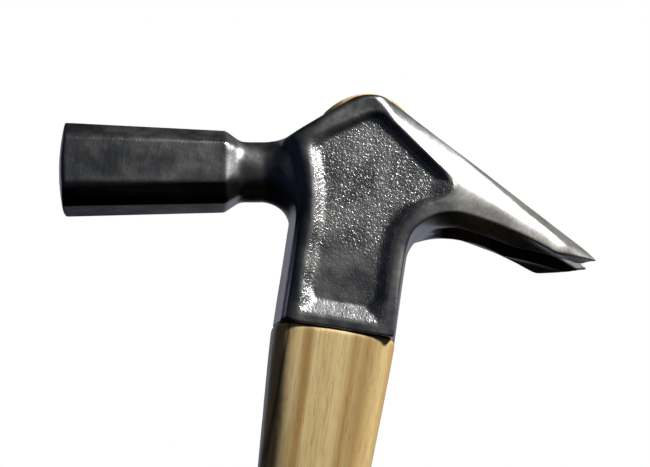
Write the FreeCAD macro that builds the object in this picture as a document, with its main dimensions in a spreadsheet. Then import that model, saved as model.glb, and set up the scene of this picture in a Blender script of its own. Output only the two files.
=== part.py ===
"""Farrier's driving hammer: a forged steel head with an octagonal poll and a V-notched claw, hung on an
ash handle and locked in its eye by a wooden wedge and a cross-driven steel wedge.

Frame: +Z runs up the handle from the middle of its butt face to the head, -X is the side of the poll,
+X the side of the claw, and Y = 0 is the forging's parting plane. Millimetres throughout.
"""
import FreeCAD, Part
import math
import os
import Sketcher

V = FreeCAD.Vector
os.makedirs("parts", exist_ok=True)
doc = FreeCAD.newDocument("DrivingHammer")

# Driving dimensions: alias, value. Heights marked "over socket" are measured up from the socket's mouth.
DIMENSIONS = {
    # handle
    "grip_length": 270.0,          # butt face to the socket's mouth
    "shoulder_chamfer": 0.5,       # under the socket
    "butt_round": 3.0,
    "front_bow": 5.0,              # radius of the grip's front, as a share of its half width
    "side_bow": 4.0,               # radius of its sides, as a share of its half thickness
    # forging, seen from the side
    "head_thickness": 21.9,        # across Y at the cheeks
    "draft_angle": 8.0,
    "socket_half": 13.45,          # along X at the parting plane
    "socket_claw_half": 13.8,      # the same on the claw's side
    "fillet_radius": 9.1,          # inside corner between socket and claw, at the parting plane
    "fillet_centre_x": 22.9,
    "fillet_centre_z": 19.2,       # over socket
    "mouth_allowance": 4.0,        # stock below the socket's mouth, cut off flat
    "fillet_leave": 82.5,          # where on that corner the claw's underside leaves it
    "cheek_radius": 34.2,          # hollow of the cheek under the poll
    "cheek_centre_z": 20.5,        # over socket
    "cheek_turn": 34.5,            # how far the hollow turns before it meets the roof's slope
    "cheek_ledge": 0.6,            # flat between the hollow and the roof's slope
    "roof_left_x": -10.4,          # a point on the roof's poll-side slope, and that slope
    "roof_left_z": 48.65,
    "roof_left_angle": 41.0,
    "roof_right_x": 27.9,          # a point on the long slope that runs out to the claw's tips
    "roof_right_z": 42.4,
    "roof_right_angle": 28.7,
    "roof_radius": 10.85,
    "rim_round": 2.0,              # rounding of the roof's edges
    # claw
    "claw_reach": 56.3,            # tips, from the handle's axis
    "claw_belly_x": 35.35,         # a point half way along the claw's arched underside
    "claw_belly_z": 25.95,
    "claw_heel_x": 44.5,           # where the ground bevel under the tips starts
    "claw_heel_z": 22.6,
    "claw_tip_z": 24.45,
    # planes that shape the claw on each side. Each has a point (along, over socket, half width), the angle at
    # which it closes in towards the tips and the angle at which it leans in towards the top.
    "flank_x": 46.4,               # upright lower flank, closing in to the tips
    "flank_z": 23.87,
    "flank_half": 10.55,
    "flank_plan_angle": 24.7,
    "flank_lean_angle": 2.0,
    "band_x": 35.0,                # leaning band under the top edge
    "band_z": 31.85,
    "band_half": 10.95,
    "band_plan_angle": 16.7,
    "band_lean_angle": 28.8,
    "nose_x": 55.5,                # the same band where it narrows to the tips
    "nose_z": 25.74,
    "nose_half": 4.9,
    "nose_plan_angle": 34.6,
    "nose_lean_angle": 28.8,
    "edge_x": 35.1,                # facet along the claw's and the roof's top edge
    "edge_z": 34.79,
    "edge_half": 9.33,
    "edge_plan_angle": 39.9,
    "edge_lean_angle": 54.3,
    "notch_start": 35.3,           # root of the nail notch
    "notch_half": 4.3,             # half width of the notch at the tips
    "groove_half_angle": 45.0,
    # poll: distances run along its axis, from the handle's axis
    "poll_droop": 9.0,             # the poll leans down towards the handle
    "poll_axis_z": 37.95,          # where its axis meets the handle's axis, over socket
    "poll_face": 65.2,
    "poll_back": 29.7,
    "neck_end": 27.0,
    "face_across": 19.05,          # across flats at the face and at the back of the octagon
    "back_across": 16.75,
    "flat_ratio": 0.532,           # a flat's length as a share of the size across flats
    "face_crown": 1.3,
    "neck_radius": 6.85,
    # recessed panel on each cheek: the edges of its straight part, and the rim's width at the inside corner
    "panel_left": -9.6,
    "panel_right": 9.85,
    "panel_foot": 1.85,            # over socket
    "panel_corner": 1.85,
    "panel_rim": 4.4,
    "panel_depth": 1.5,
    "panel_wall_angle": 45.0,
    # eye
    "eye_mouth_half": 11.0,        # along X and Y, at the socket's mouth and above the roof
    "eye_mouth_half_y": 7.4,
    "eye_top_half": 9.7,
    "eye_top_half_y": 6.6,
    "eye_height": 62.0,
    # wedges, both driven in from the eye's top
    "tongue_proud": 0.6,           # the end grain stands over the roof's slopes, and is flatter at its peak
    "tongue_radius": 15.0,
    "wood_wedge_depth": 38.0,
    "wood_wedge_thick": 3.4,
    "steel_wedge_depth": 20.0,
    "steel_wedge_thick": 2.6,
    "steel_wedge_width": 10.0,
    "wedge_tip": 0.75,             # thickness left at the wedges' lower ends
}
REACH = 60.0                       # cuts that run right through, and past everything, along one axis

sheet = doc.addObject("Spreadsheet::Sheet", "Dims")
for row, (alias, value) in enumerate(DIMENSIONS.items(), start=1):
    sheet.set(f"A{row}", alias)
    sheet.set(f"B{row}", str(value))
    sheet.setAlias(f"B{row}", alias)
doc.recompute()


def dim(alias):
    """A driving dimension as a number."""
    return float(sheet.get(alias))


def slope(alias):
    """The tangent of an angle in the sheet."""
    return math.tan(math.radians(dim(alias)))


def over_socket(height):
    """Height over the socket's mouth -> Z."""
    return dim("grip_length") + height


def new_body(label):
    body = doc.addObject("PartDesign::Body", label)
    body.Label = label
    return body


def new_sketch(body, name, plane, edges, offset=FreeCAD.Placement(), bind=None):
    """A sketch on one of the body's origin planes, moved by offset; bind maps its axes to expressions."""
    sketch = body.newObject("Sketcher::SketchObject", name)
    support = next(item for item in body.Origin.OriginFeatures if item.Role == plane)
    sketch.AttachmentSupport = [(support, "")]
    sketch.MapMode = "FlatFace"
    sketch.AttachmentOffset = offset
    for axis, expression in (bind or {}).items():
        sketch.setExpression(f"AttachmentOffset.Base.{axis}", expression)
    for edge in edges:
        sketch.addGeometry(edge, False)
    sketch.Visibility = False
    return sketch


def join(points):
    """Closed chain of straight lines through 2-D points."""
    ring = [V(x, y, 0) for x, y in points]
    return [Part.LineSegment(a, b) for a, b in zip(ring, ring[1:] + ring[:1])]


def chain(start, *steps):
    """Closed chain from start: each step is (x, y) for a line or ((x, y), (x, y)) for an arc via a point."""
    edges = []
    here = V(*start, 0)
    for step in steps:
        if isinstance(step[0], tuple):
            via, there = V(*step[0], 0), V(*step[1], 0)
            edges.append(Part.Arc(here, via, there))
        else:
            there = V(*step, 0)
            edges.append(Part.LineSegment(here, there))
        here = there
    if here.distanceToPoint(V(*start, 0)) > 1e-6:
        edges.append(Part.LineSegment(here, V(*start, 0)))
    return edges


def oval(half_x, half_y, fullness=0.81):
    """Four-centre oval: two tight end arcs and two broad side arcs, all tangent."""
    end_radius = fullness * half_y
    end_centre = half_x - end_radius
    side_radius = (end_centre ** 2 + half_y ** 2 - end_radius ** 2) / (2 * (half_y - end_radius))
    side_centre = side_radius - half_y
    turn = math.atan2(side_centre, end_centre)
    touch_x = end_centre + end_radius * math.cos(turn)
    touch_y = end_radius * math.sin(turn)
    return [
        Part.Arc(V(touch_x, -touch_y, 0), V(half_x, 0, 0), V(touch_x, touch_y, 0)),
        Part.Arc(V(touch_x, touch_y, 0), V(0, half_y, 0), V(-touch_x, touch_y, 0)),
        Part.Arc(V(-touch_x, touch_y, 0), V(-half_x, 0, 0), V(-touch_x, -touch_y, 0)),
        Part.Arc(V(-touch_x, -touch_y, 0), V(0, -half_y, 0), V(touch_x, -touch_y, 0)),
    ]


def rounded_box(half_x, half_y, corner):
    """The grip's section: four bowed sides that run into round corners of one radius, all tangent."""
    broad, narrow = dim("front_bow") * half_x, dim("side_bow") * half_y
    front, flank = V(0, half_y - broad, 0), V(half_x - narrow, 0, 0)

    # the corner's centre is (broad - corner) from the front's centre and (narrow - corner) from the flank's
    apart = flank - front
    along = (apart.Length ** 2 + (broad - corner) ** 2 - (narrow - corner) ** 2) / (2 * apart.Length)
    unit = apart / apart.Length
    across = V(unit.y, -unit.x, 0) * math.sqrt((broad - corner) ** 2 - along ** 2)
    centre = front + unit * along + across
    top = centre + (centre - front).normalize() * corner
    end = centre + (centre - flank).normalize() * corner
    bend = centre + ((top + end) / 2 - centre).normalize() * corner

    def flip(point, sign):
        return V(point.x * sign[0], point.y * sign[1], 0)

    quarters = [(1, 1), (-1, 1), (-1, -1), (1, -1)]
    middles = [V(0, half_y, 0), V(-half_x, 0, 0), V(0, -half_y, 0), V(half_x, 0, 0)]
    edges = []
    for number, (here, there) in enumerate(zip(quarters, quarters[1:] + quarters[:1])):
        start, leave = (end, top) if number % 2 == 0 else (top, end)
        edges.append(Part.Arc(flip(start, here), flip(bend, here), flip(leave, here)))
        edges.append(Part.Arc(flip(leave, here), middles[number], flip(leave, there)))
    return edges


def square(half):
    return join([(-half, -half), (half, -half), (half, half), (-half, half)])


def octagon(across):
    """Square with its corners cut off: eight lines."""
    half = across / 2
    flat = half * dim("flat_ratio")
    corners = [(half, -flat), (half, flat), (flat, half), (-flat, half)]
    corners += [(-x, -y) for x, y in corners]
    return join(corners)


def feature(body, kind, name, profile, **settings):
    """A PartDesign feature on a profile, with its settings."""
    made = body.newObject(f"PartDesign::{kind}", name)
    made.Profile = profile
    for key, value in settings.items():
        setattr(made, key, value)
    return made


def loft(body, kind, name, sections, ruled=False):
    """An additive or subtractive loft through a list of sketches."""
    made = body.newObject(f"PartDesign::{kind}Loft", name)
    made.Profile = sections[0]
    made.Sections = sections[1:]
    made.Ruled = ruled
    return made


def settle(body, expect):
    """Recompute, and make sure the tip added (+1) or removed (-1) material."""
    before = settle.volumes.get(body.Name, 0.0)
    doc.recompute()
    volume = body.Shape.Volume
    if (volume - before) * expect <= 0:
        raise RuntimeError(f"{body.Name}: {body.Tip.Name} changed the volume from {before} to {volume}")
    settle.volumes[body.Name] = volume


settle.volumes = {}


def roof_line(clearance, radius):
    """The roof at the parting plane, raised by clearance and with its peak rounded to a radius: where the arc
    starts, its crown and where it ends (X, Z), and both slopes."""
    left_slope, right_slope = slope("roof_left_angle"), slope("roof_right_angle")
    left = math.radians(dim("roof_left_angle"))
    right = math.radians(dim("roof_right_angle"))
    left_z = over_socket(dim("roof_left_z")) + clearance / math.cos(left)
    right_z = over_socket(dim("roof_right_z")) + clearance / math.cos(right)
    peak_x = (right_z + right_slope * dim("roof_right_x") - left_z + left_slope * dim("roof_left_x"))
    peak_x /= left_slope + right_slope
    peak_z = left_z + left_slope * (peak_x - dim("roof_left_x"))
    reach = radius * math.tan((left + right) / 2)
    start = (peak_x - reach * math.cos(left), peak_z - reach * math.sin(left))
    end = (peak_x + reach * math.cos(right), peak_z - reach * math.sin(right))
    lean = (right - left) / 2
    drop = radius / math.cos((left + right) / 2) - radius
    crown = (peak_x - drop * math.sin(-lean), peak_z - drop * math.cos(lean))
    return start, crown, end, left_slope, right_slope


# ---------------------------------------------------------------- the forged head
def head_outline():
    """Side view at the parting plane: socket, hollow cheek, roof, claw, bevelled tips, arched underside."""
    start, crown, end, left_slope, right_slope = roof_line(0.0, dim("roof_radius"))
    half = dim("socket_half")
    mouth = over_socket(-dim("mouth_allowance"))
    hollow = dim("cheek_radius")
    hollow_x = -half - hollow
    hollow_z = over_socket(dim("cheek_centre_z"))
    corner_turn = math.radians(dim("cheek_turn"))
    corner = (hollow_x + hollow * math.cos(corner_turn), hollow_z + hollow * math.sin(corner_turn))
    middle = (hollow_x + hollow * math.cos(corner_turn / 2), hollow_z + hollow * math.sin(corner_turn / 2))
    shoulder_x = corner[0] - dim("cheek_ledge")
    shoulder = (shoulder_x, start[1] - left_slope * (start[0] - shoulder_x))
    reach = dim("claw_reach")
    nose = (reach, end[1] - right_slope * (reach - end[0]))
    tip = (reach, over_socket(dim("claw_tip_z")))
    heel = (dim("claw_heel_x"), over_socket(dim("claw_heel_z")))
    belly = (dim("claw_belly_x"), over_socket(dim("claw_belly_z")))
    radius = dim("fillet_radius")
    centre = (dim("fillet_centre_x"), over_socket(dim("fillet_centre_z")))
    leave = math.radians(dim("fillet_leave"))
    root = (centre[0] + radius * math.cos(leave), centre[1] + radius * math.sin(leave))
    half_way = (leave + math.pi) / 2
    inside = (centre[0] + radius * math.cos(half_way), centre[1] + radius * math.sin(half_way))
    wall = (dim("socket_claw_half"), centre[1])
    return chain(
        (-half, mouth), (-half, hollow_z), (middle, corner), shoulder, start, (crown, end), nose, tip, heel,
        (belly, root), (inside, wall), (dim("socket_claw_half"), mouth),
    )


def panel_outline():
    """Edge of the recessed panel on the cheek's face: follows the outline, with a wider rim at the roof."""
    left, right = dim("panel_left"), dim("panel_right")
    foot, corner = dim("panel_foot"), dim("panel_corner")
    nick = (1 - math.sqrt(0.5)) * corner
    sweep = dim("fillet_radius") + dim("panel_rim")
    centre_x, centre_z = dim("fillet_centre_x"), dim("fillet_centre_z")
    leave, half_way = math.radians(107.0), math.radians(142.0)
    arc_end = (centre_x + sweep * math.cos(leave), centre_z + sweep * math.sin(leave))
    arc_middle = (centre_x + sweep * math.cos(half_way), centre_z + sweep * math.sin(half_way))
    steps = [
        (right - corner, foot), ((right - nick, foot + nick), (right, foot + corner)),
        (right, centre_z + 1.4), (arc_middle, arc_end), ((21.4, 34.3), (22.2, 36.2)),
        (5.0, 48.8), ((1.85, 50.1), (-1.3, 48.75)), (-10.3, 42.2), ((-11.8, 40.9), (-12.3, 38.9)),
        ((-9.7, 29.4), (-9.2, 18.6)), (left, foot + corner),
        ((left + nick, foot + nick), (left + corner, foot)),
    ]

    def lift(step):
        if isinstance(step[0], tuple):
            return tuple(lift(point) for point in step)
        return step[0], over_socket(step[1])

    return chain(lift((left + corner, foot)), *[lift(step) for step in steps])


def poll_plane(distance):
    """Offset of a YZ sketch that stands square to the poll's axis at a distance from the handle's axis."""
    droop = math.radians(dim("poll_droop"))
    base = V(0, over_socket(dim("poll_axis_z")) - distance * math.sin(droop), -distance * math.cos(droop))
    return FreeCAD.Placement(base, FreeCAD.Rotation(V(1, 0, 0), -dim("poll_droop")))


def poll_section(body, name, distance, edges):
    """A section of the poll or neck; its distance along the axis is an expression in the sheet's terms."""
    bind = {
        "y": f"Dims.grip_length + Dims.poll_axis_z - ({distance}) * sin(Dims.poll_droop)",
        "z": f"-({distance}) * cos(Dims.poll_droop)",
    }
    number = float(body.evalExpression(f"1.0 * ({distance})"))
    return new_sketch(body, name, "YZ_Plane", edges, poll_plane(number), bind)


def ring(half_width, above, below):
    """Ellipse on a poll section that reaches above and below the axis by different amounts."""
    centre = V(0, (above - below) / 2, 0)
    across = centre + V(half_width, 0, 0)
    upright = centre + V(0, (above + below) / 2, 0)
    if half_width >= (above + below) / 2:
        return [Part.Ellipse(across, upright, centre)]
    return [Part.Ellipse(upright, centre - V(half_width, 0, 0), centre)]


def build_head():
    body = new_body("hammer_head")

    outline = new_sketch(body, "side_outline", "XZ_Plane", head_outline())
    forging = feature(body, "Pad", "forging", outline, SideType="Symmetric")
    forging.setExpression("Length", "Dims.head_thickness")
    forging.setExpression("TaperAngle", "-Dims.draft_angle")
    settle(body, +1)

    # the roof's two long edges and its crown are rounded over, on both cheeks
    cheek = dim("head_thickness") / 2
    rim_edges = []
    for number, edge in enumerate(forging.Shape.Edges, start=1):
        middle = edge.valueAt((edge.FirstParameter + edge.LastParameter) / 2)
        on_cheek = abs(abs(middle.y) - cheek) < 0.01
        on_roof = middle.z > over_socket(dim("roof_right_z") - dim("roof_radius") / 2)
        if on_cheek and on_roof and edge.Length > dim("rim_round"):
            rim_edges.append(f"Edge{number}")
    rounding = body.newObject("PartDesign::Fillet", "rim_rounding")
    rounding.Base = (forging, rim_edges)
    rounding.setExpression("Radius", "Dims.rim_round")
    settle(body, -1)

    mouth = new_sketch(body, "mouth_cut", "XY_Plane", square(REACH),
                       FreeCAD.Placement(V(0, 0, over_socket(0)), FreeCAD.Rotation()),
                       {"z": "Dims.grip_length"})
    feature(body, "Pocket", "flat_mouth", mouth, Length=REACH)
    settle(body, -1)

    # planes on each side of the claw: the upright lower flank, the leaning band above it and its end at the
    # tips, and a facet along the top edge
    for face in ("flank", "band", "nose", "edge"):
        for side, name in ((1, "near"), (-1, "far")):
            normal = V(slope(f"{face}_plan_angle"), slope(f"{face}_lean_angle"), side)
            base = V(dim(f"{face}_x"), over_socket(dim(f"{face}_z")), side * dim(f"{face}_half"))
            offset = FreeCAD.Placement(base, FreeCAD.Rotation(V(0, 0, 1), normal))
            plane = new_sketch(body, f"{name}_{face}_plane", "XZ_Plane", square(1.5 * REACH), offset)
            feature(body, "Pocket", f"{name}_{face}", plane, Length=REACH, Reversed=True)
            settle(body, -1)

    # neck, flaring out into the cheeks and down into the socket: distance, half width, above, below
    neck = dim("neck_radius")
    flare = (
        (13.5, 10.7, 8.8, 11.4), (15.1, 10.6, 8.2, 9.7), (16.3, 9.8, 7.7, 8.6), (17.4, 8.7, 7.3, 7.8),
        (18.5, 7.8, 7.05, 7.25), (19.5, 7.2, 6.95, 7.05), (20.8, neck + 0.05, neck, neck),
    )
    sections = [poll_section(body, f"flare_{number}", distance, ring(half_width, above, below))
                for number, (distance, half_width, above, below) in enumerate(flare)]
    sections.append(poll_section(body, "neck_end", "Dims.neck_end", ring(neck + 0.01, neck, neck)))
    loft(body, "Additive", "neck", sections, ruled=True)
    settle(body, +1)

    # shoulder: an S curve from the octagon down into the neck, as distance in front of its back and scale
    back, face = dim("back_across"), dim("face_across")
    shoulder = ((0.0, 1.0), (0.8, 0.965), (1.6, 0.905), (2.4, 0.835), (3.1, 0.78), (3.9, 0.73))
    sections = [poll_section(body, f"shoulder_{number}", f"Dims.poll_back - {inward}", octagon(back * scale))
                for number, (inward, scale) in enumerate(shoulder)]
    loft(body, "Additive", "shoulder", sections, ruled=True)
    settle(body, +1)

    growth = (face - back) / (dim("poll_face") - dim("poll_back"))
    overrun = 2.0
    sections = [
        poll_section(body, "octagon_back", "Dims.poll_back", octagon(back)),
        poll_section(body, "octagon_face", f"Dims.poll_face + {overrun}", octagon(face + overrun * growth)),
    ]
    loft(body, "Additive", "poll", sections, ruled=True)
    settle(body, +1)

    # the striking face is turned to a slight crown
    crown = dim("face_crown")
    rim = face / 2 * 1.13
    radius = (rim ** 2 + crown ** 2) / (2 * crown)
    bulge = crown - radius + math.sqrt(radius ** 2 - (rim / 2) ** 2)
    wide = rim + 4
    low = crown - radius + math.sqrt(radius ** 2 - wide ** 2)
    profile = chain((crown, 0), ((bulge, rim / 2), (low, wide)), (overrun + 4, wide), (overrun + 4, 0))
    droop = math.radians(dim("poll_droop"))
    place = poll_plane(dim("poll_face"))
    centre = V(place.Base.z, place.Base.y, 0)
    turned = new_sketch(body, "crown_profile", "XZ_Plane", profile,
                        FreeCAD.Placement(centre, FreeCAD.Rotation(V(0, 0, 1), 180 + math.degrees(droop))))
    feature(body, "Groove", "striking_face", turned, ReferenceAxis=(turned, ["H_Axis"]), Angle=360.0)
    settle(body, -1)

    # recessed panel on each cheek
    for side, name in ((1, "near"), (-1, "far")):
        offset = FreeCAD.Placement(V(0, 0, side * cheek), FreeCAD.Rotation())
        panel = new_sketch(body, f"{name}_panel_outline", "XZ_Plane", panel_outline(), offset,
                           {"z": f"{side} * Dims.head_thickness / 2"})
        cut = feature(body, "Pocket", f"{name}_panel", panel, Reversed=side < 0)
        cut.setExpression("Length", "Dims.panel_depth")
        cut.setExpression("TaperAngle", "-Dims.panel_wall_angle")
        settle(body, -1)

    # eye through the head, a little tighter at the top
    eye = [
        new_sketch(body, "eye_mouth", "XY_Plane", oval(dim("eye_mouth_half"), dim("eye_mouth_half_y")),
                   FreeCAD.Placement(V(0, 0, over_socket(0)), FreeCAD.Rotation()), {"z": "Dims.grip_length"}),
        new_sketch(body, "eye_top", "XY_Plane", oval(dim("eye_top_half"), dim("eye_top_half_y")),
                   FreeCAD.Placement(V(0, 0, over_socket(dim("eye_height"))), FreeCAD.Rotation()),
                   {"z": "Dims.grip_length + Dims.eye_height"}),
    ]
    loft(body, "Subtractive", "eye", eye, ruled=True)
    settle(body, -1)

    # V groove under the claw: reach and height of its ridge, from the blunt run-out to beyond the tips
    ridge = (
        (17.8, 26.0), (19.0, 28.2), (20.2, 30.6), (21.6, 32.3), (23.5, 33.1), (33.0, 30.7), (43.0, 30.2),
        (60.0, 27.4),
    )
    groove = []
    depth = 22.0
    half = depth * slope("groove_half_angle")
    for number, (reach, apex) in enumerate(ridge):
        low, high = over_socket(apex - depth), over_socket(apex)
        groove.append(new_sketch(body, f"groove_{number}", "YZ_Plane",
                                 join([(-half, low), (half, low), (0, high)]),
                                 FreeCAD.Placement(V(0, 0, reach), FreeCAD.Rotation())))
    loft(body, "Subtractive", "claw_groove", groove, ruled=True)
    settle(body, -1)

    spread = dim("notch_half") / (dim("claw_reach") - dim("notch_start"))
    beyond = dim("claw_reach") + 5.0
    half = spread * (beyond - dim("notch_start"))
    notch = new_sketch(body, "notch_plan", "XY_Plane",
                       join([(dim("notch_start"), 0), (beyond, -half), (beyond, half)]),
                       FreeCAD.Placement(V(0, 0, over_socket(50)), FreeCAD.Rotation()))
    feature(body, "Pocket", "nail_notch", notch, Length=REACH)
    settle(body, -1)
    return body


# ---------------------------------------------------------------- handle and wedges
def trim_above_roof(body):
    """Cut everything above the sanded end grain, right through Y."""
    start, crown, end, left_slope, right_slope = roof_line(dim("tongue_proud"), dim("tongue_radius"))
    left = (start[0] - 20, start[1] - 20 * left_slope)
    right = (end[0] + 20, end[1] - 20 * right_slope)
    top = over_socket(90.0)
    profile = chain(left, start, (crown, end), right, (right[0], top), (left[0], top))
    above = new_sketch(body, f"{body.Name}_top_line", "XZ_Plane", profile)
    feature(body, "Pocket", f"{body.Name}_top", above, SideType="Symmetric", Length=REACH)
    settle(body, -1)


def wood_wedge_profile():
    """The kerf and its wedge, seen along X: a slim taper from the roof down into the tongue."""
    top = over_socket(dim("eye_height"))
    bottom = top - dim("wood_wedge_depth")
    thick, tip = dim("wood_wedge_thick") / 2, dim("wedge_tip") / 2
    return join([(-thick, top), (-tip, bottom), (tip, bottom), (thick, top)])


def steel_wedge_profile():
    """The cross wedge seen along Y: a steep taper."""
    top = over_socket(dim("eye_height"))
    bottom = top - dim("steel_wedge_depth")
    thick, tip = dim("steel_wedge_thick") / 2, dim("wedge_tip") / 2
    return join([(-thick, top), (-tip, bottom), (tip, bottom), (thick, top)])


def build_handle():
    body = new_body("handle")
    grip = dim("grip_length")
    butt = (13.9, 11.0, 7.5)
    butt_round = dim("butt_round")
    shoulder = (13.65, 10.85, 5.0)
    chamfer = dim("shoulder_chamfer")
    # height up the handle, half width along X, half thickness along Y, corner radius
    stations = (
        (butt_round, *butt), (22.0, 13.6, 10.8, 7.5), (60.0, 12.6, 10.0, 7.3), (105.0, 11.3, 9.1, 7.0),
        (150.0, 10.6, 8.6, 6.8), (195.0, 10.65, 8.6, 6.8), (225.0, 11.3, 9.15, 6.7), (250.0, 12.6, 10.1, 6.2),
        (grip - chamfer, *shoulder),
    )
    sections = [new_sketch(body, f"grip_{number}", "XY_Plane", rounded_box(half_x, half_y, corner),
                           FreeCAD.Placement(V(0, 0, height), FreeCAD.Rotation()))
                for number, (height, half_x, half_y, corner) in enumerate(stations)]
    sections[-1].setExpression("AttachmentOffset.Base.z", "Dims.grip_length - Dims.shoulder_chamfer")
    loft(body, "Additive", "grip", sections)
    settle(body, +1)

    bevel = rounded_box(*[size - chamfer for size in shoulder])
    top = new_sketch(body, "shoulder_top", "XY_Plane", bevel,
                     FreeCAD.Placement(V(0, 0, grip), FreeCAD.Rotation()), {"z": "Dims.grip_length"})
    loft(body, "Additive", "shoulder_bevel", [sections[-1], top], ruled=True)
    settle(body, +1)

    # the butt is rounded over by a quarter turn in four steps
    rounds = []
    for number in range(5):
        angle = math.radians(90.0 * number / 4)
        height = butt_round * (1 - math.cos(angle))
        inset = butt_round * (1 - math.sin(angle))
        section = rounded_box(*[size - inset for size in butt])
        rounds.append(new_sketch(body, f"butt_{number}", "XY_Plane", section,
                                 FreeCAD.Placement(V(0, 0, height), FreeCAD.Rotation())))
    loft(body, "Additive", "butt", rounds, ruled=True)
    settle(body, +1)

    tongue = [
        new_sketch(body, "tongue_foot", "XY_Plane", oval(dim("eye_mouth_half"), dim("eye_mouth_half_y")),
                   FreeCAD.Placement(V(0, 0, grip), FreeCAD.Rotation()), {"z": "Dims.grip_length"}),
        new_sketch(body, "tongue_top", "XY_Plane", oval(dim("eye_top_half"), dim("eye_top_half_y")),
                   FreeCAD.Placement(V(0, 0, over_socket(dim("eye_height"))), FreeCAD.Rotation()),
                   {"z": "Dims.grip_length + Dims.eye_height"}),
    ]
    loft(body, "Additive", "tongue", tongue, ruled=True)
    settle(body, +1)

    kerf = new_sketch(body, "kerf_profile", "YZ_Plane", wood_wedge_profile())
    feature(body, "Pocket", "kerf", kerf, SideType="Symmetric", Length=REACH)
    settle(body, -1)
    slot = new_sketch(body, "slot_profile", "XZ_Plane", steel_wedge_profile())
    cut = feature(body, "Pocket", "steel_wedge_slot", slot, SideType="Symmetric")
    cut.setExpression("Length", "Dims.steel_wedge_width")
    settle(body, -1)
    trim_above_roof(body)
    return body


def build_wooden_wedge():
    """Fills the kerf from side to side of the eye, and is split at the top by the steel wedge."""
    body = new_body("wooden_wedge")
    profile = new_sketch(body, "wedge_profile", "YZ_Plane", wood_wedge_profile())
    wedge = feature(body, "Pad", "wedge", profile, SideType="Symmetric")
    wedge.setExpression("Length", "2 * Dims.eye_top_half - 0.8")
    settle(body, +1)
    slot = new_sketch(body, "wedge_slot", "XZ_Plane", steel_wedge_profile())
    cut = feature(body, "Pocket", "split", slot, SideType="Symmetric")
    cut.setExpression("Length", "Dims.steel_wedge_width")
    settle(body, -1)
    trim_above_roof(body)
    return body


def build_steel_wedge():
    """Driven across the wooden one, flush with the end grain."""
    body = new_body("steel_wedge")
    profile = new_sketch(body, "cross_profile", "XZ_Plane", steel_wedge_profile())
    wedge = feature(body, "Pad", "cross_wedge", profile, SideType="Symmetric")
    wedge.setExpression("Length", "Dims.steel_wedge_width")
    settle(body, +1)
    trim_above_roof(body)
    return body


parts = [build_head(), build_handle(), build_wooden_wedge(), build_steel_wedge()]
doc.recompute()
for item in doc.Objects:
    if "Invalid" in item.State or "Error" in item.State:
        raise RuntimeError(f"{item.Name}: {item.State}")
for part in parts:
    shape = part.Shape
    if shape.isNull() or not shape.isValid() or len(shape.Solids) != 1:
        raise RuntimeError(f"{part.Label}: bad shape with {len(shape.Solids)} solids")
    shape.exportStep(f"parts/{part.Label}.step")
    print(part.Label, round(shape.Volume / 1000, 2), "cm3", shape.BoundBox)
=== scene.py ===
import math

import bpy
import numpy as np
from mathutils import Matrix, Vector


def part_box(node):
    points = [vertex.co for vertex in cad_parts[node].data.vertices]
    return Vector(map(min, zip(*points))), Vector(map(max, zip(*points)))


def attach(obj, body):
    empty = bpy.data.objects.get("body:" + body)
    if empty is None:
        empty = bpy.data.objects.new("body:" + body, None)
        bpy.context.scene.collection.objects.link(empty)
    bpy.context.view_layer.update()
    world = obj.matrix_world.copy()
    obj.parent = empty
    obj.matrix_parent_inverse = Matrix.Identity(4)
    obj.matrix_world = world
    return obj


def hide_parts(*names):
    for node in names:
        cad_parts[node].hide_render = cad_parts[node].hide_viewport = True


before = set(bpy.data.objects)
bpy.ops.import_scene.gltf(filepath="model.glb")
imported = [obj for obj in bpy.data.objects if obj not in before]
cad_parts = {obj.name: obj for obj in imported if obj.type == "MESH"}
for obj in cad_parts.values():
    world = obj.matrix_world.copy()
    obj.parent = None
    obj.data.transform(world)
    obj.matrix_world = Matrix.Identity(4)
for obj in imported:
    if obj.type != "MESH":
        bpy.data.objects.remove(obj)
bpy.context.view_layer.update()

import openvdb
from mathutils import Matrix, Vector

MM = 0.001
head_low, head_high = (np.array(corner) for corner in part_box("hammer_head"))
grip_top = float(head_low[2])                     # the socket's mouth


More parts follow.
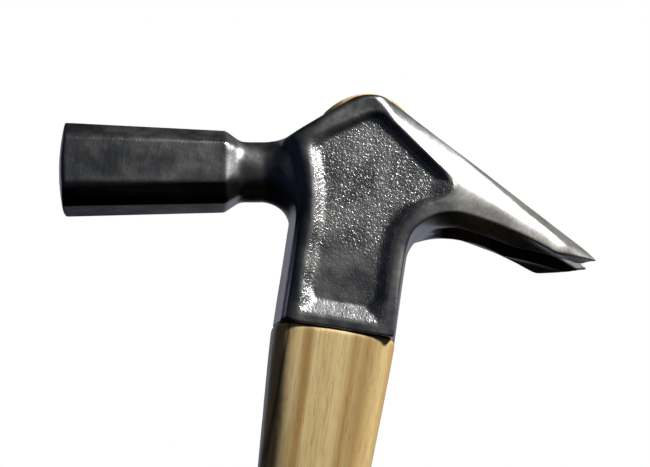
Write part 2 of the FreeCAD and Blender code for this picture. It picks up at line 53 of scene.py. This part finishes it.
# ------------------------------------------------------------------ distance fields and their surfaces
class Field:
    """Signed distances on a regular grid, negative inside the metal or wood."""

    def __init__(self, low, high, step, band=1.6 * MM, margin=3 * MM):
        self.step = step
        self.band = band
        self.low = np.floor((np.array(low) - margin) / step).astype(int)
        self.shape = tuple(np.ceil((np.array(high) + margin) / step).astype(int) - self.low + 1)
        self.values = np.full(self.shape, band, np.float32)

    def axes(self):
        """Coordinates of the grid planes along X, Y and Z, ready to broadcast."""
        return [((self.low[axis] + np.arange(self.shape[axis])) * self.step).astype(np.float32)
                .reshape([-1 if other == axis else 1 for other in range(3)]) for axis in range(3)]

    def of_node(self, node):
        """The distance to a CAD node's surface."""
        mesh = bpy.data.objects[node].data
        points = np.empty(len(mesh.vertices) * 3, np.float32)
        mesh.vertices.foreach_get("co", points)
        mesh.calc_loop_triangles()
        triangles = np.empty(len(mesh.loop_triangles) * 3, np.int32)
        mesh.loop_triangles.foreach_get("vertices", triangles)
        grid = openvdb.FloatGrid.createLevelSetFromPolygons(
            points.reshape(-1, 3), triangles=triangles.reshape(-1, 3).astype(np.uint32),
            transform=openvdb.createLinearTransform(voxelSize=self.step), halfWidth=self.band / self.step)
        values = np.empty(self.shape, np.float32)
        grid.copyToArray(values, ijk=tuple(int(index) for index in self.low))
        return values

    def slab(self, low, high):
        """Slices of the grid between two points."""
        first = np.clip(np.round(np.array(low) / self.step).astype(int) - self.low, 0, None)
        last = np.round(np.array(high) / self.step).astype(int) - self.low
        return tuple(slice(int(a), int(b)) for a, b in zip(first, last))

    def sample(self, points, values=None):
        """Trilinear value at each point."""
        values = self.values if values is None else values
        place = points / self.step - self.low
        cell = np.clip(np.floor(place).astype(int), 0, np.array(self.shape) - 2)
        part = (place - cell).astype(np.float32)
        total = np.zeros(len(points), np.float32)
        for corner in range(8):
            step = np.array([(corner >> axis) & 1 for axis in range(3)])
            weight = np.prod(np.where(step, part, 1 - part), axis=1)
            i, j, k = (cell + step).T
            total += weight * values[i, j, k]
        return total

    def gradient(self, points):
        """How fast the field grows along each axis, at each point."""
        half = 0.5 * self.step
        return np.stack([self.sample(points + half * axis) - self.sample(points - half * axis)
                         for axis in np.eye(3)], axis=1) / self.step

    def settle(self, points, rounds=2, flattest=0.05):
        """Points moved onto the zero surface, by a step of the grid at most in each round."""
        for _ in range(rounds):
            slope = self.gradient(points)
            steep = np.maximum((slope ** 2).sum(axis=1), flattest)
            shift = (self.sample(points) / steep)[:, None] * slope
            points = points - np.clip(shift, -self.step, self.step)
        return points

    def surface(self, relax=3, flattest=0.1):
        """Even quads on the zero surface: relax is how many times the points slide apart along it."""
        grid = openvdb.FloatGrid(self.band)
        grid.copyFromArray(self.values, ijk=tuple(int(index) for index in self.low))
        grid.transform = openvdb.createLinearTransform(voxelSize=self.step)
        points, quads = grid.convertToQuads(isovalue=0.0)
        points = points.astype(np.float64)
        for _ in range(relax):
            slope = self.gradient(points)
            slope /= np.maximum(np.linalg.norm(slope, axis=1), flattest)[:, None]
            slide = spread(points, quads) - points
            slide -= (slide * slope).sum(axis=1)[:, None] * slope
            points = self.settle(points + slide)
        corners = points[quads]
        turn = np.cross(corners[:, 2] - corners[:, 0], corners[:, 3] - corners[:, 1])
        if (turn * corners.mean(axis=1)).sum() < 0:
            quads = quads[:, ::-1]
        return points, quads


def spread(points, quads):
    """Each point at the mean of its neighbours along the quads' edges."""
    here = quads.ravel()
    there = np.roll(quads, 1, axis=1).ravel()
    ends = np.concatenate([here, there])
    others = np.concatenate([there, here])
    count = np.bincount(ends, minlength=len(points))
    return np.stack([np.bincount(ends, points[others, axis], len(points)) for axis in range(3)],
                    axis=1) / np.maximum(count, 1)[:, None]


def blurred(values, sigma):
    """Gaussian blur along all three axes, sigma in grid steps."""
    reach = int(math.ceil(3 * sigma))
    taps = np.exp(-0.5 * (np.arange(-reach, reach + 1) / sigma) ** 2)
    taps = (taps / taps.sum()).astype(np.float32)
    for axis in range(3):
        pad = [(reach, reach) if other == axis else (0, 0) for other in range(3)]
        wide = np.pad(values, pad, mode="edge")
        count = values.shape[axis]
        values = sum(tap * np.take(wide, range(shift, shift + count), axis)
                     for shift, tap in enumerate(taps))
    return values


def ease(value, start, end):
    """Smooth step from 0 at start to 1 at end."""
    part = np.clip((value - start) / (end - start), 0, 1)
    return part * part * (3 - 2 * part)


def smooth_max(first, second, soft):
    """The larger of two fields, rounded over where they cross."""
    blend = np.maximum(soft - np.abs(first - second), 0) / soft
    return np.maximum(first, second) + blend ** 2 * soft / 4


def new_piece(name, points, quads, material):
    """A smooth mesh object that belongs to the body root."""
    mesh = bpy.data.meshes.new(name)
    mesh.vertices.add(len(points))
    mesh.vertices.foreach_set("co", points.astype(np.float32).ravel())
    mesh.loops.add(quads.size)
    mesh.loops.foreach_set("vertex_index", quads.astype(np.int32).ravel())
    mesh.polygons.add(len(quads))
    mesh.polygons.foreach_set("loop_start", np.arange(0, quads.size, 4, dtype=np.int32))
    mesh.update(calc_edges=True)
    mesh.validate()
    mesh.shade_smooth()
    mesh.materials.append(material)
    piece = bpy.data.objects.new(name, mesh)
    bpy.context.scene.collection.objects.link(piece)
    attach(piece, "root")
    return piece


# ------------------------------------------------------------------ the forged head
HEAD_STEP = 0.26 * MM                             # of the grid that holds the head's field
POLL_DROOP = math.radians(9.0)                    # the poll's axis leans down towards the handle
POLL_HEIGHT = grip_top + 37.95 * MM               # where that axis meets the handle's axis
DRAFT = math.radians(8.0)                         # the outline closes in by this towards the cheeks
CHEEK = 10.95 * MM                                # half the head's thickness
CORE = 8.0 * MM                                   # half of the middle slab, under the panels and the rims
PANEL_DEPTH = 1.5 * MM                            # from the cheek down to the panel's floor
PANEL_OUTLINE = 0.6 * MM                          # how far under the cheek the panel's outline is taken


def along_poll(x, z):
    """Distance along the poll's axis from the handle's axis, and height over that axis."""
    down, over = math.sin(POLL_DROOP), math.cos(POLL_DROOP)
    rise = z - POLL_HEIGHT
    return -x * over - rise * down, rise * over - x * down


def near_roof(x, z):
    """1 along the panel's upper walls, which follow the roof, and 0 lower down."""
    return ease(z - grip_top + 0.45 * x, 34 * MM, 40 * MM)


def above_plane(x, side, z, point, plan_angle, lean_angle):
    """Distance outside a plane that closes in towards the tips and leans in towards the top."""
    plan, lean = math.tan(math.radians(plan_angle)), math.tan(math.radians(lean_angle))
    rise = (x - point[0] * MM) * plan + (z - grip_top - point[2] * MM) * lean + side - point[1] * MM
    return rise / math.sqrt(plan ** 2 + lean ** 2 + 1)


def claw_and_roof_rounding(x, side, z):
    """Distance outside the flank and the facet of the claw. The flank is upright below and turns in under the
    top edge, and the facet runs along that edge and along the roof."""
    taper = smooth_max(0 * x, (x - 45.6 * MM) * 0.46, 1.2 * MM)

    # the line where the flank turns in falls steeply from the roof and then gently towards the tips
    crossing = 36.6 * MM
    steep = crossing + 0.78 * (21.4 * MM - x)
    gentle = crossing + 0.417 * (23.6 * MM - x)
    turn = z - grip_top - smooth_max(steep, gentle, 1.5 * MM)
    soft = 0.7 * MM + 0.9 * MM * ease(x, 18 * MM, 25 * MM)
    past_turn = (turn + np.hypot(turn, soft)) / 2
    lean = 0.55 * ease(x, 1 * MM, 7 * MM) * past_turn

    # the sum grows faster than a distance where the flank slopes
    flank = (side - CHEEK + taper + lean) / 1.12
    facet = above_plane(x, side, z, (35.1, 9.33, 34.79), 39.9, 54.3)
    return smooth_max(flank, facet, 1.5 * MM - 0.9 * MM * ease(x, 12 * MM, 26 * MM))


def flood(start, allowed, rounds):
    """The allowed cells of a flat grid that can be reached from one of them."""
    reached = np.zeros_like(allowed)
    reached[start] = True
    for _ in range(rounds):
        grown = reached.copy()
        for axis in (0, 1):
            grown |= np.roll(reached, 1, axis) | np.roll(reached, -1, axis)
        reached = grown & allowed
    return reached


def panel_gaps(field, steel):
    """Distance in from the panel's rim, over the grid's X and Z; 0 outside."""
    level = -int((CHEEK - PANEL_OUTLINE) / field.step) - field.low[1]
    on_axis, halfway_up = -field.low[0], int(round((grip_top + 25 * MM) / field.step)) - field.low[2]
    inside = flood((on_axis, halfway_up), steel[:, level, :] > 0, rounds=200)
    enclosed = inside.copy()
    for axis in (0, 1):
        enclosed &= np.roll(inside, 1, axis) & np.roll(inside, -1, axis)
    outline = np.argwhere(inside & ~enclosed)

    # signed distance from the outline, a batch of cells at a time; the rim lies a little outside it
    margin, batch = 4, 2000
    first, last = outline.min(axis=0) - margin, outline.max(axis=0) + margin + 1
    cells = np.argwhere(np.ones(last - first, bool)) + first
    gaps = np.zeros(inside.shape, np.float32)
    for start in range(0, len(cells), batch):
        some = cells[start:start + batch]
        apart = np.linalg.norm(some[:, None, :] - outline[None, :, :], axis=2).min(axis=1)
        within = inside[some[:, 0], some[:, 1]]
        gaps[some[:, 0], some[:, 1]] = np.where(within, apart + 0.5, 0.5 - apart) + PANEL_OUTLINE / field.step
    return blurred(np.maximum(gaps, 0)[:, None, :], sigma=1.2) * field.step


def panel_floor(gaps, x, z):
    """Half thickness of the head over a panel, which has long sloping walls and runs out at the claw; -1
    outside the panel."""
    height = z - grip_top
    wall = 2.3 * MM - 1.0 * MM * near_roof(x, z) + 1.9 * MM * (1 - ease(height, 5 * MM, 9 * MM))
    from_claw = np.hypot(x - 22.0 * MM, height - 35.4 * MM)
    depth = PANEL_DEPTH * (0.02 + 0.98 * ease(from_claw, 0.5 * MM, 6.5 * MM))
    return np.where(gaps > 0.05 * MM, CHEEK - depth * np.minimum(gaps / wall, 1), -1.0)


def eye_filling(field, z):
    """The handle's tongue and its wedges, a hair too large, down to the socket's mouth."""
    tongue = np.minimum(field.of_node("handle"), field.of_node("wooden_wedge"))
    tongue = np.minimum(tongue, field.of_node("steel_wedge")) - 0.08 * MM
    return np.maximum(tongue, grip_top - z)


def with_plain_peak(field, solid, x, side, z):
    """The solid with a peak of the roof that keeps its full thickness and has a plain rounded rim."""
    outline = solid[:, -int(round(CORE / field.step)) - field.low[1], :][:, None, :]
    peak = smooth_max(side - CHEEK, outline + math.tan(DRAFT) * (side - CORE), 2.2 * MM)
    share = (ease(z - grip_top, 44 * MM, 46.5 * MM) * (1 - ease(x, 4 * MM, 10 * MM))
             * ease(x, -8 * MM, -3 * MM))
    return np.where(side > CORE, solid + (peak - solid) * share, solid)


def soften(field, solid, x, side, z):
    """Set the field to the softened solid. The ground tips stay crisp, and the forged middle, the groove's
    root, the shoulder and the neck's flare are softer than the rest."""
    along, above = along_poll(x, z)
    field.values = blurred(solid, 0.2 * MM / field.step)
    field.values += (solid - field.values) * ease(x, 46 * MM, 52 * MM)
    body = ease(-x, -16 * MM, -11 * MM) * ease(z - grip_top, 6 * MM, 12 * MM) * (1 - 0.8 * near_roof(x, z))
    groove_root = (ease(x, 15 * MM, 17 * MM) * (1 - ease(x, 21 * MM, 25 * MM))
                   * (1 - ease(side, 5 * MM, 8 * MM)))
    shoulder = ease(along, 21 * MM, 24 * MM) * (1 - ease(along, 28.3 * MM, 30.3 * MM))
    flare = (ease(along, 11 * MM, 14.5 * MM) * (1 - ease(along, 20 * MM, 24 * MM))
             * (1 - ease(above, 3 * MM, 8 * MM)) * ease(above, -15 * MM, -10 * MM))

    # each part's box in millimetres from the middle of the socket's mouth, and the width of its blur
    for low, high, blur, share in (
        ((-20, -14, 5), (18, 14, 57), 0.55, body),
        ((14, -9, 18), (26, 9, 36), 0.5, groove_root),
        ((-34, -13, 17), (-18, 13, 52), 0.85, shoulder),
        ((-26, -15, 14), (-6, 15, 56), 2.1, flare),
    ):
        part = field.slab(*(np.array(corner) * MM + (0, 0, grip_top) for corner in (low, high)))
        soft = blurred(solid[part], blur * MM / field.step)
        field.values[part] += (soft - field.values[part]) * np.broadcast_to(share, field.shape)[part]


def cheek_hollow(x, side, z):
    """What the cheeks lose where they fall away towards the socket's poll-side edge, which is upright at the
    bottom and follows an arc above."""
    arc_start = grip_top + 20.5 * MM
    arc_centre, arc_radius = -47.65 * MM, 35.74 * MM
    arc = arc_centre + np.sqrt(np.maximum(arc_radius ** 2 - (z - arc_start) ** 2, 0))
    edge = np.where(z > arc_start, arc, arc_centre + arc_radius)
    inward = np.clip((x - edge) / (3.6 * MM), 0, 1)
    return 0.9 * MM * (1 - inward) ** 2 * ease(side, 8 * MM, 10.4 * MM) * ease(-x, -4 * MM, 2 * MM)


def sculpt_head():
    """The head's field, and in field.panel the distance in from the panel's rim."""
    field = Field(head_low, head_high, HEAD_STEP)
    x, y, z = field.axes()
    side = np.abs(y)
    steel = field.of_node("hammer_head")
    field.panel = panel_gaps(field, steel)

    # the eye is filled while the outside is shaped and softened
    tongue = eye_filling(field, z)
    solid = with_plain_peak(field, np.minimum(steel, tongue), x, side, z)
    floor = panel_floor(field.panel, x, z)
    solid = np.where((floor > 0) & (side > CORE), side - floor, solid)
    solid = np.maximum(solid, claw_and_roof_rounding(x, side, z))
    soften(field, solid, x, side, z)
    field.values += cheek_hollow(x, side, z)

    # it is opened again right through, so it reaches past both of its mouths
    reach = int(2.4 * MM / field.step)
    eye = np.minimum(tongue, np.minimum(np.roll(tongue, reach, axis=2), np.roll(tongue, -reach, axis=2)))
    field.values = np.maximum(field.values, -eye)
    return field


def on_panel(field, points):
    """1 on the recessed panels and their walls, 0 on the rims and everywhere else."""
    gaps = field.sample(points, np.repeat(field.panel, field.shape[1], axis=1))
    return ease(gaps, 0.1 * MM, 0.6 * MM) * ease(np.abs(points[:, 1]), 8 * MM, 9 * MM)


def in_groove(x, y, z):
    """1 on the two slopes of the groove under the claw, which meet in a ridge; black shade is painted there.
    """
    # the ridge's height over the socket's mouth along X, in millimetres
    ridge = np.array(((17.8, 26.0), (19.0, 28.2), (20.2, 30.6), (21.6, 32.3), (23.5, 33.1), (33.0, 30.7),
                      (43.0, 30.2), (60.0, 27.4))) * MM + (0, grip_top)
    off = np.abs(np.abs(y) + z - np.interp(x, ridge[:, 0], ridge[:, 1]))
    return (1 - ease(off, 0.35 * MM, 0.8 * MM)) * ease(x, 17.6 * MM, 18.4 * MM)


def paint_head(piece, field, points):
    """Store, per vertex, how much of each of the steel's finishes it has, and in scale where black is
    painted: shade in the groove and a dark reflection under the poll.
    """
    x, y, z = points.T
    along, above = along_poll(x, z)
    worn = (1 - ease(z, grip_top + 14 * MM, grip_top + 22 * MM)) * (1 - ease(np.abs(x), 5 * MM, 7.5 * MM))
    dark_reflection_under_poll = ease(-above, 6.2 * MM, 8 * MM) * ease(along, 28.5 * MM, 30 * MM)
    finishes = {
        "pebble": on_panel(field, points) * (1 - 0.6 * worn),
        "brushed": ease(along, 28 * MM, 30 * MM),
        "ground": ease(x, 17 * MM, 24 * MM),
        # scale: where black is painted as shade in the groove and as a dark reflection under the poll
        "scale": np.maximum(in_groove(x, y, z), dark_reflection_under_poll),
    }
    for name, values in finishes.items():
        layer = piece.data.attributes.new(name, "FLOAT", "POINT")
        layer.data.foreach_set("value", np.ascontiguousarray(values, np.float32))


# ------------------------------------------------------------------ materials
class Nodes:
    """Adds shader nodes to a tree and returns their outputs."""

    def __init__(self, owner):
        owner.use_nodes = True
        self.tree = owner.node_tree
        self.tree.nodes.clear()

    def add(self, kind, inputs=None, out=0, **settings):
        made = self.tree.nodes.new("ShaderNode" + kind)
        for key, value in settings.items():
            setattr(made, key, value)
        for key, value in (inputs or {}).items():
            if isinstance(value, bpy.types.NodeSocket):
                self.tree.links.new(value, made.inputs[key])
            else:
                made.inputs[key].default_value = value
        return made.outputs[out]

    def math(self, operation, first, second):
        return self.add("Math", {0: first, 1: second}, operation=operation)

    def wander(self, vector, reach):
        """Noise around 0, at most half of reach either way."""
        return self.math("MULTIPLY", self.math("SUBTRACT", self.noise(vector, 1.0), 0.5), reach)

    def remap(self, value, low, high, to_low=0.0, to_high=1.0, smooth=True):
        return self.add("MapRange", {"Value": value, "From Min": low, "From Max": high, "To Min": to_low,
                                     "To Max": to_high},
                        interpolation_type="SMOOTHSTEP" if smooth else "LINEAR")

    def noise(self, vector, scale, detail=2.0, roughness=0.5, distortion=0.0):
        """Noise from 0 to 1. Scale is in features per unit of the vector."""
        return self.add("TexNoise", {"Vector": vector, "Scale": scale, "Detail": detail,
                                     "Roughness": roughness, "Distortion": distortion}, "Fac")

    def mix(self, share, first, second):
        """A blend of two colours, each given as a colour or as an output."""
        made = self.tree.nodes.new("ShaderNodeMix")
        made.data_type = "RGBA"
        for socket, value in ((made.inputs[0], share), (made.inputs[6], first), (made.inputs[7], second)):
            if isinstance(value, bpy.types.NodeSocket):
                self.tree.links.new(value, socket)
            elif isinstance(value, tuple):
                socket.default_value = (*value, 1.0)
            else:
                socket.default_value = value
        return made.outputs[2]

    def split(self, vector):
        """A vector's three components."""
        made = self.tree.nodes.new("ShaderNodeSeparateXYZ")
        self.tree.links.new(vector, made.inputs[0])
        return made.outputs

    def ramp(self, value, stops):
        """Colours along a value from 0 to 1: the first stop lies at 0 and the last at 1."""
        made = self.tree.nodes.new("ShaderNodeValToRGB")
        self.tree.links.new(value, made.inputs[0])
        elements = made.color_ramp.elements
        elements[0].color = (*stops[0][1], 1.0)
        elements[1].color = (*stops[-1][1], 1.0)
        for place, colour in stops[1:-1]:
            elements.new(place).color = (*colour, 1.0)
        return made.outputs[0]

    def stretched(self, x, y, z):
        """Object coordinates in metres, multiplied along each axis."""
        place = self.add("TexCoord", out="Object")
        return self.add("VectorMath", {0: place, 1: (x, y, z)}, operation="MULTIPLY")

    def attribute(self, name):
        return self.add("Attribute", out="Fac", attribute_name=name)

    def bump(self, height, distance, below=None):
        """A normal with relief as high as distance, on top of the relief below."""
        inputs = {"Height": height, "Distance": distance, "Strength": 1.0}
        if below is not None:
            inputs["Normal"] = below
        return self.add("Bump", inputs)

    def surface(self, inputs):
        """Finish a material with a principled shader that has these inputs."""
        shader = self.add("BsdfPrincipled", {key: (*value, 1.0) if isinstance(value, tuple) else value
                                             for key, value in inputs.items()})
        self.finish(shader)

    def finish(self, shader, kind="OutputMaterial", socket="Surface"):
        made = self.tree.nodes.new("ShaderNode" + kind)
        self.tree.links.new(shader, made.inputs[socket])


def forged_steel_look():
    material = bpy.data.materials.new("forged_steel_look")
    nodes = Nodes(material)
    place = nodes.stretched(1, 1, 1)
    pebble, brushed = nodes.attribute("pebble"), nodes.attribute("brushed")
    # scale: where black is painted as shade in the groove and as a dark reflection under the poll
    ground, scale = nodes.attribute("ground"), nodes.attribute("scale")

    # colour: bluish over the forged parts, greyer where it is ground, and painted black where scale marks
    # shade in the groove and a dark reflection under the poll
    cloud = nodes.noise(place, 120.0, 4.0, 0.6)
    speck = nodes.noise(place, 1500.0, 3.0, 0.6)
    forged = nodes.mix(nodes.remap(cloud, 0.35, 0.65), (0.24, 0.245, 0.26), (0.34, 0.34, 0.345))
    bare = nodes.mix(nodes.remap(speck, 0.3, 0.7), (0.36, 0.36, 0.352), (0.48, 0.475, 0.46))
    colour = nodes.mix(ground, forged, bare)
    colour = nodes.mix(scale, colour, (0.05, 0.04, 0.034))

    # relief: leathery pebbles on the panels, lumps on what is forged, scratches across the poll, fine grain
    leather = nodes.noise(place, 1900.0, 1.5, 0.5, 1.2)
    grain = nodes.noise(place, 5200.0, 2.0, 0.6)
    lumps = nodes.noise(place, 620.0, 2.0, 0.5)
    scratch = nodes.noise(nodes.stretched(5200.0, 160.0, 160.0), 1.0, 2.0, 0.6)
    relief = nodes.bump(nodes.math("MULTIPLY", leather, pebble), 0.12 * MM)
    relief = nodes.bump(nodes.math("MULTIPLY", lumps, nodes.math("SUBTRACT", 1.0, ground)), 0.05 * MM, relief)
    relief = nodes.bump(nodes.math("MULTIPLY", scratch, brushed), 0.035 * MM, relief)
    relief = nodes.bump(grain, 0.012 * MM, relief)

    rough = nodes.remap(cloud, 0.3, 0.7, 0.30, 0.40)
    rough = nodes.math("ADD", rough, nodes.math("MULTIPLY", ground, 0.05))
    nodes.surface({"Base Color": colour, "Metallic": 1.0, "Roughness": rough, "Normal": relief})
    return material


def ash_look():
    material = bpy.data.materials.new("ash_look")
    nodes = Nodes(material)

    # growth rings are sheets that run up the handle and wander a little; seen here from one side to the other
    x, y, _ = nodes.split(nodes.stretched(1, 1, 1))
    across = nodes.math("ADD", x, nodes.math("MULTIPLY", y, 0.2))
    across = nodes.math("ADD", across, nodes.wander(nodes.stretched(45.0, 45.0, 7.0), 5.0 * MM))
    across = nodes.math("ADD", across, nodes.wander(nodes.stretched(220.0, 220.0, 24.0), 1.6 * MM))
    pale, straw, tan = (0.84, 0.65, 0.33), (0.72, 0.54, 0.25), (0.56, 0.41, 0.175)
    orange, brown = (0.46, 0.285, 0.105), (0.22, 0.11, 0.04)
    rings = nodes.ramp(nodes.remap(across, -14 * MM, 14 * MM, smooth=False), (
        (0.0, tan), (0.055, straw), (0.07, brown), (0.09, straw), (0.17, pale), (0.215, orange),
        (0.245, orange), (0.28, pale), (0.37, straw), (0.45, pale), (0.53, straw), (0.58, orange),
        (0.62, tan), (0.68, orange), (0.74, tan), (0.83, straw), (0.92, orange), (1.0, tan),
    ))

    # fibres run along the grain, and the vessels are short dark dashes among them
    fibres = nodes.noise(nodes.stretched(1500.0, 1500.0, 26.0), 1.0, 3.0, 0.6)
    vessels = nodes.noise(nodes.stretched(3800.0, 3800.0, 120.0), 1.0, 2.0, 0.6)
    colour = nodes.mix(nodes.remap(fibres, 0.42, 0.75, 0.0, 0.55), rings, (0.42, 0.275, 0.10))
    dashes = nodes.remap(vessels, 0.58, 0.68, 0.0, 0.35)
    colour = nodes.mix(dashes, colour, (0.20, 0.10, 0.03))

    relief = nodes.bump(nodes.math("SUBTRACT", 1.0, dashes), 0.05 * MM)
    relief = nodes.bump(fibres, 0.03 * MM, relief)
    rough = nodes.remap(fibres, 0.3, 0.7, 0.34, 0.48)
    nodes.surface({"Base Color": colour, "Roughness": rough, "Coat Weight": 0.25, "Coat Roughness": 0.3,
                   "Normal": relief})
    return material


def wedge_wood_look():
    material = bpy.data.materials.new("wedge_wood_look")
    nodes = Nodes(material)
    fibres = nodes.noise(nodes.stretched(1800.0, 1800.0, 60.0), 1.0, 3.0, 0.6)
    pores = nodes.noise(nodes.stretched(2600.0, 2600.0, 300.0), 1.0, 2.0, 0.5)
    colour = nodes.mix(nodes.remap(fibres, 0.3, 0.7), (0.30, 0.15, 0.06), (0.46, 0.26, 0.11))
    colour = nodes.mix(nodes.remap(pores, 0.58, 0.68), colour, (0.12, 0.055, 0.02))
    nodes.surface({"Base Color": colour, "Roughness": nodes.remap(fibres, 0.3, 0.7, 0.5, 0.7),
                   "Normal": nodes.bump(fibres, 0.05 * MM)})
    return material


def wedge_steel_look():
    material = bpy.data.materials.new("wedge_steel_look")
    nodes = Nodes(material)
    stain = nodes.noise(nodes.stretched(1, 1, 1), 900.0, 4.0, 0.65)
    colour = nodes.mix(nodes.remap(stain, 0.35, 0.7), (0.42, 0.41, 0.40), (0.22, 0.17, 0.13))
    rough = nodes.remap(stain, 0.3, 0.7, 0.32, 0.55)
    nodes.surface({"Base Color": colour, "Metallic": 1.0, "Roughness": rough,
                   "Normal": nodes.bump(stain, 0.04 * MM)})
    return material


# ------------------------------------------------------------------ pieces
head_field = sculpt_head()
head_points, head_quads = head_field.surface()
head = new_piece("forged_head", head_points, head_quads, forged_steel_look())
paint_head(head, head_field, head_points)
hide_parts("hammer_head")

handle_field = Field(*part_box("handle"), 0.45 * MM)
handle_field.values = blurred(handle_field.of_node("handle"), 0.3 * MM / handle_field.step)
handle_points, handle_quads = handle_field.surface()
grip = new_piece("ash_handle", handle_points, handle_quads, ash_look())
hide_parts("handle")

for node, look in (("wooden_wedge", wedge_wood_look()), ("steel_wedge", wedge_steel_look())):
    wedge = bpy.data.objects[node]
    wedge.data.materials.clear()
    wedge.data.materials.append(look)


# ------------------------------------------------------------------ floor, light and camera
def build_floor():
    """A pale floor that the steel doesn't mirror and that throws no light back up."""
    mesh = bpy.data.meshes.new("floor")
    half, level = 3.0, -0.5 * MM
    mesh.from_pydata([(-half, -half, level), (half, -half, level), (half, half, level), (-half, half, level)],
                     [], [(0, 1, 2, 3)])
    floor = bpy.data.objects.new("floor", mesh)
    bpy.context.scene.collection.objects.link(floor)
    material = bpy.data.materials.new("floor_look")
    nodes = Nodes(material)
    tone = nodes.noise(nodes.stretched(1, 1, 1), 3.0, 2.0, 0.5)
    nodes.surface({"Base Color": nodes.mix(tone, (0.80, 0.80, 0.80), (0.84, 0.84, 0.84)), "Roughness": 0.7})
    mesh.materials.append(material)
    floor.visible_glossy = False
    floor.visible_diffuse = False


def build_world():
    """White behind the object. What the steel mirrors is a lit backdrop, a dim front, a dark sky and a dark
    ground."""
    world = bpy.data.worlds.new("studio")
    bpy.context.scene.world = world
    nodes = Nodes(world)
    x, y, z = nodes.split(nodes.add("TexCoord", out="Generated"))
    front = nodes.mix(nodes.remap(x, -0.6, 0.4), (0.010, 0.014, 0.028), (0.055, 0.062, 0.066))

    # the backdrop ends below, along an edge that is lower on the right
    over_edge = nodes.math("ADD", z, nodes.math("MULTIPLY", x, 0.5))
    back = nodes.mix(nodes.remap(over_edge, -0.27, -0.17), (0.004, 0.004, 0.006), (0.40, 0.40, 0.48))
    mirrored = nodes.mix(nodes.remap(y, 0.15, 0.75), front, back)
    mirrored = nodes.mix(nodes.remap(z, 0.3, 0.7), mirrored, (0.005, 0.007, 0.017))
    mirrored = nodes.mix(nodes.remap(z, -0.45, -0.75), mirrored, (0.002, 0.002, 0.002))
    colour = nodes.mix(nodes.add("LightPath", out="Is Diffuse Ray"), mirrored, (0.035, 0.037, 0.042))
    colour = nodes.mix(nodes.add("LightPath", out="Is Camera Ray"), colour, (1.0, 1.0, 1.0))
    nodes.finish(nodes.add("Background", {"Color": colour, "Strength": 1.0}), "OutputWorld")


def add_lamp(name, direction, distance, size, power, colour, mirrored=True):
    """A round soft lamp that looks at the head, seen in the steel or not."""
    target = Vector((0.0, 0.0, grip_top + 20 * MM))
    data = bpy.data.lights.new(name, "AREA")
    data.shape = "DISK"
    data.size = size
    data.energy = power
    data.color = colour
    lamp = bpy.data.objects.new(name, data)
    lamp.visible_glossy = mirrored
    bpy.context.scene.collection.objects.link(lamp)
    lamp.location = target + Vector(direction).normalized() * distance
    lamp.rotation_euler = (target - lamp.location).to_track_quat("-Z", "Y").to_euler()


def build_camera():
    """The camera looks up at the head from the front, a little rolled."""
    yaw, rise, roll = math.radians(3.3), math.radians(14.2), math.radians(8.45)
    distance = 357.1 * MM
    target = Vector((-5.02 * MM, 0.0, grip_top + 22.97 * MM))
    view_width = 145.66 * MM                      # what the frame shows at the target's distance
    forward = Vector((math.sin(yaw) * math.cos(rise), math.cos(yaw) * math.cos(rise), math.sin(rise)))
    right = forward.cross(Vector((0, 0, 1))).normalized()
    up = right.cross(forward)
    rolled_right = right * math.cos(roll) + up * math.sin(roll)
    rolled_up = up * math.cos(roll) - right * math.sin(roll)
    data = bpy.data.cameras.new("camera")
    data.sensor_fit = "HORIZONTAL"
    data.sensor_width = 36.0
    data.lens = data.sensor_width * distance / view_width
    data.clip_start = 0.01
    camera = bpy.data.objects.new("camera", data)
    bpy.context.scene.collection.objects.link(camera)
    camera.matrix_world = Matrix((rolled_right, rolled_up, -forward)).transposed().to_4x4()
    camera.location = target - forward * distance
    bpy.context.scene.camera = camera


build_floor()
build_world()
add_lamp("key", (0.50, -0.42, 0.76), 0.9, 0.14, 16.0, (1.0, 0.97, 0.92))
add_lamp("back", (0.0, 1.0, 0.3), 1.2, 0.5, 6.0, (1.0, 1.0, 1.0), mirrored=False)
build_camera()
bpy.context.scene.view_settings.view_transform = "Standard"
